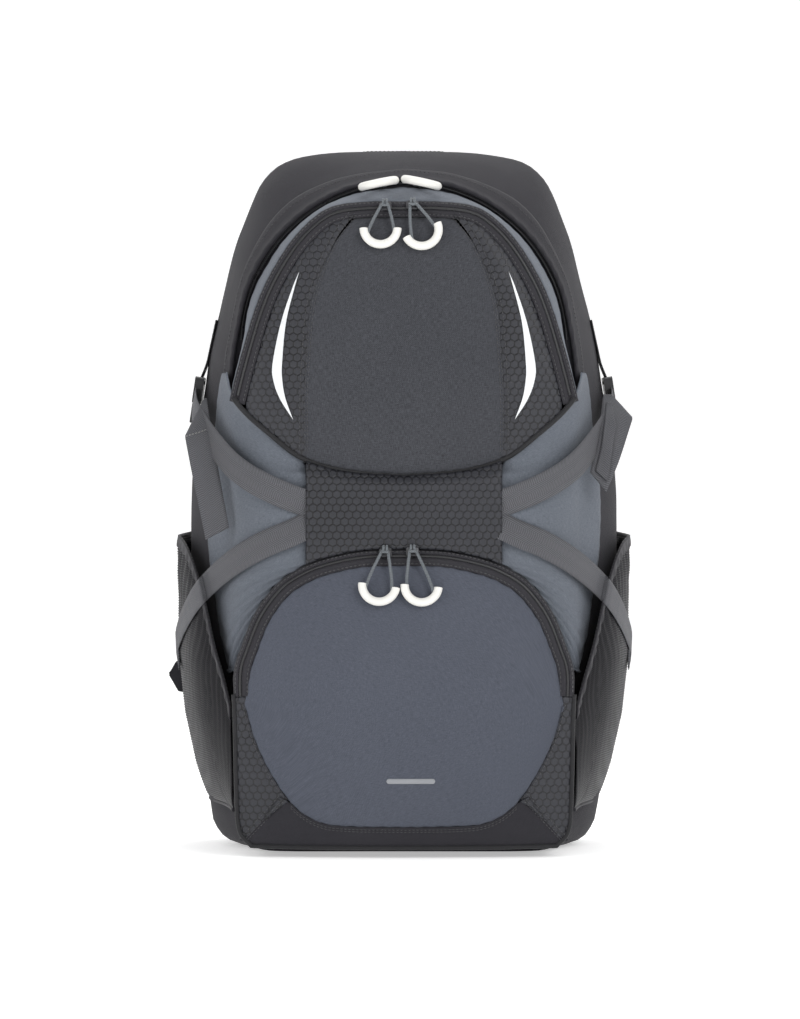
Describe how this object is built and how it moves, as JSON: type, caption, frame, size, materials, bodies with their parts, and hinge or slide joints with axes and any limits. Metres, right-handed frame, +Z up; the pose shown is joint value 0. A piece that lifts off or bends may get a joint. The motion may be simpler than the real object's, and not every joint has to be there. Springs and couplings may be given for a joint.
{
  "type": "daypack",
  "caption": "Hiking daypack with an arched front compartment, a lower front pocket, stretch side pockets, crossed compression straps and padded shoulder straps.",
  "frame": {"origin": "in the plane of the flat base, on the pack's centre line, 45 mm behind the wall between the main and front compartments", "axes": "+Z up along the pack, +Y towards the wearer's back, -Y the front with the pockets, +X to the right seen from the front"},
  "size_m": [0.3563, 0.2452, 0.5306],
  "materials": {
    "charcoal_fabric": "plain-weave polyester, charcoal, dull",
    "slate_fabric": "fine-weave polyester, slate grey",
    "heather_fabric": "heathered weave, dark grey",
    "hex_fabric": "coated fabric embossed with a hexagon grid, semi-gloss",
    "stretch_mesh": "ribbed elastic stretch fabric",
    "zip_tape": "woven zip tape with a nylon coil",
    "reflective_tape": "silver retro-reflective transfer",
    "grey_webbing": "herringbone polyester webbing, mid grey",
    "black_webbing": "polyester webbing, black",
    "black_plastic": "moulded acetal, satin",
    "air_mesh": "spacer mesh over foam",
    "frame_plastic": "polyethylene sheet",
    "slider_metal": "gunmetal plated zinc",
    "pull_cord": "braided nylon cord, slate",
    "grip_rubber": "moulded rubber tube, off-white"
  },
  "bodies": {
    "pack": {"back_pads": "air_mesh", "back_panel": "charcoal_fabric", "base_panel": "charcoal_fabric", "buckle_sockets": "black_plastic", "corner_panels": "hex_fabric", "frame_sheet": "frame_plastic", "front_gusset": "slate_fabric", "front_panel_base": "heather_fabric", "left_side_panel": "charcoal_fabric", "left_straps": "grey_webbing", "lower_base_panel": "charcoal_fabric", "lower_gusset": "slate_fabric", "lower_panel_base": "slate_fabric", "main_zip": "zip_tape", "mesh_pockets": "stretch_mesh", "mid_band": "hex_fabric", "partition_panel": "charcoal_fabric", "rain_flap": "charcoal_fabric", "right_side_panel": "charcoal_fabric", "right_straps": "grey_webbing", "shoulder_straps": "air_mesh", "side_webbing": "black_webbing", "strap_anchors": "black_webbing", "strap_tails": "grey_webbing", "top_panel": "charcoal_fabric", "wings": "slate_fabric"},
    "front_flap": {"front_panel": "heather_fabric", "front_side_panels": "hex_fabric", "front_zip": "zip_tape", "reflective_slivers": "reflective_tape"},
    "lower_flap": {"lower_panel": "slate_fabric", "lower_zip": "zip_tape"},
    "handle": {"grab_handle": "black_webbing"},
    "left_tongue": {"left_buckle_tongue": "black_plastic"},
    "right_tongue": {"right_buckle_tongue": "black_plastic"},
    "left_lock": {"left_ladder_lock": "black_plastic"},
    "right_lock": {"right_ladder_lock": "black_plastic"},
    "sternum_left": {"sternum_socket": "black_plastic", "sternum_webbing_left": "black_webbing"},
    "sternum_right": {"sternum_tongue": "black_plastic", "sternum_webbing_right": "black_webbing"},
    "main_slider_left": {"main_slider_left": "slider_metal"},
    "main_pull_left": {"main_cord_left": "pull_cord", "main_grip_left": "grip_rubber"},
    "main_slider_right": {"main_slider_right": "slider_metal"},
    "main_pull_right": {"main_cord_right": "pull_cord", "main_grip_right": "grip_rubber"},
    "front_slider_left": {"front_slider_left": "slider_metal"},
    "front_pull_left": {"front_cord_left": "pull_cord", "front_grip_left": "grip_rubber"},
    "front_slider_right": {"front_slider_right": "slider_metal"},
    "front_pull_right": {"front_cord_right": "pull_cord", "front_grip_right": "grip_rubber"},
    "lower_slider_left": {"lower_slider_left": "slider_metal"},
    "lower_pull_left": {"lower_cord_left": "pull_cord", "lower_grip_left": "grip_rubber"},
    "lower_slider_right": {"lower_slider_right": "slider_metal"},
    "lower_pull_right": {"lower_cord_right": "pull_cord", "lower_grip_right": "grip_rubber"}
  },
  "joints": [
    {"name": "front_flap_opens", "type": "hinge", "parent": "pack", "child": "front_flap", "pos_m": [0, -0.0958, 0.3301], "axis": [1, 0, 0], "range_deg": [0, 110]},
    {"name": "lower_flap_opens", "type": "hinge", "parent": "pack", "child": "lower_flap", "pos_m": [0, -0.1108, 0.1161], "axis": [1, 0, 0], "range_deg": [0, 110]},
    {"name": "main_zip_left", "type": "hinge", "parent": "pack", "child": "main_slider_left", "pos_m": [0, 0, 0.377], "axis": [0, 1, 0], "range_deg": [-64, 0]},
    {"name": "main_pull_swing_left", "type": "hinge", "parent": "main_slider_left", "child": "main_pull_left", "pos_m": [-0.01688, -0.0518, 0.49712], "axis": [1, 0, 0], "range_deg": [-90, 0]},
    {"name": "main_zip_right", "type": "hinge", "parent": "pack", "child": "main_slider_right", "pos_m": [0, 0, 0.377], "axis": [0, 1, 0], "range_deg": [0, 64]},
    {"name": "main_pull_swing_right", "type": "hinge", "parent": "main_slider_right", "child": "main_pull_right", "pos_m": [0.01099, -0.0518, 0.4978], "axis": [1, 0, 0], "range_deg": [-90, 0]},
    {"name": "front_zip_left", "type": "hinge", "parent": "front_flap", "child": "front_slider_left", "pos_m": [0, 0, 0.367], "axis": [0, 1, 0], "range_deg": [-70, 0]},
    {"name": "front_pull_swing_left", "type": "hinge", "parent": "front_slider_left", "child": "front_pull_left", "pos_m": [-0.014, -0.08991, 0.48101], "axis": [1, 0, 0], "range_deg": [-150, 0]},
    {"name": "front_zip_right", "type": "hinge", "parent": "front_flap", "child": "front_slider_right", "pos_m": [0, 0, 0.367], "axis": [0, 1, 0], "range_deg": [0, 70]},
    {"name": "front_pull_swing_right", "type": "hinge", "parent": "front_slider_right", "child": "front_pull_right", "pos_m": [0.00641, -0.08991, 0.48168], "axis": [1, 0, 0], "range_deg": [-150, 0]},
    {"name": "lower_zip_left", "type": "hinge", "parent": "lower_flap", "child": "lower_slider_left", "pos_m": [0, 0, 0.088], "axis": [0, 1, 0], "range_deg": [-52, 0]},
    {"name": "lower_pull_swing_left", "type": "hinge", "parent": "lower_slider_left", "child": "lower_pull_left", "pos_m": [-0.01381, -0.09972, 0.22637], "axis": [1, 0, 0], "range_deg": [-150, 0]},
    {"name": "lower_zip_right", "type": "hinge", "parent": "lower_flap", "child": "lower_slider_right", "pos_m": [0, 0, 0.088], "axis": [0, 1, 0], "range_deg": [0, 52]},
    {"name": "lower_pull_swing_right", "type": "hinge", "parent": "lower_slider_right", "child": "lower_pull_right", "pos_m": [0.00631, -0.09972, 0.22691], "axis": [1, 0, 0], "range_deg": [-150, 0]},
    {"name": "handle_lifts", "type": "hinge", "parent": "pack", "child": "handle", "pos_m": [0, 0.079, 0.5231], "axis": [1, 0, 0], "range_deg": [-110, 0]},
    {"name": "right_buckle_releases", "type": "slide", "parent": "pack", "child": "right_tongue", "axis": [0.1461, 0, -0.9893], "range_m": [0, 0.018]},
    {"name": "left_buckle_releases", "type": "slide", "parent": "pack", "child": "left_tongue", "axis": [-0.1461, 0, -0.9893], "range_m": [0, 0.018]},
    {"name": "left_ladder_lock_tilts", "type": "hinge", "parent": "pack", "child": "left_lock", "pos_m": [-0.091, 0.0945, 0.185], "axis": [1, 0, 0], "range_deg": [0, 35]},
    {"name": "right_ladder_lock_tilts", "type": "hinge", "parent": "pack", "child": "right_lock", "pos_m": [0.091, 0.0945, 0.185], "axis": [1, 0, 0], "range_deg": [0, 35]},
    {"name": "sternum_height", "type": "slide", "parent": "pack", "child": "sternum_left", "axis": [0, 0, 1], "range_m": [-0.04, 0.03]},
    {"name": "sternum_buckle_releases", "type": "slide", "parent": "sternum_left", "child": "sternum_right", "axis": [1, 0, 0], "range_m": [0, 0.018]}
  ]
}
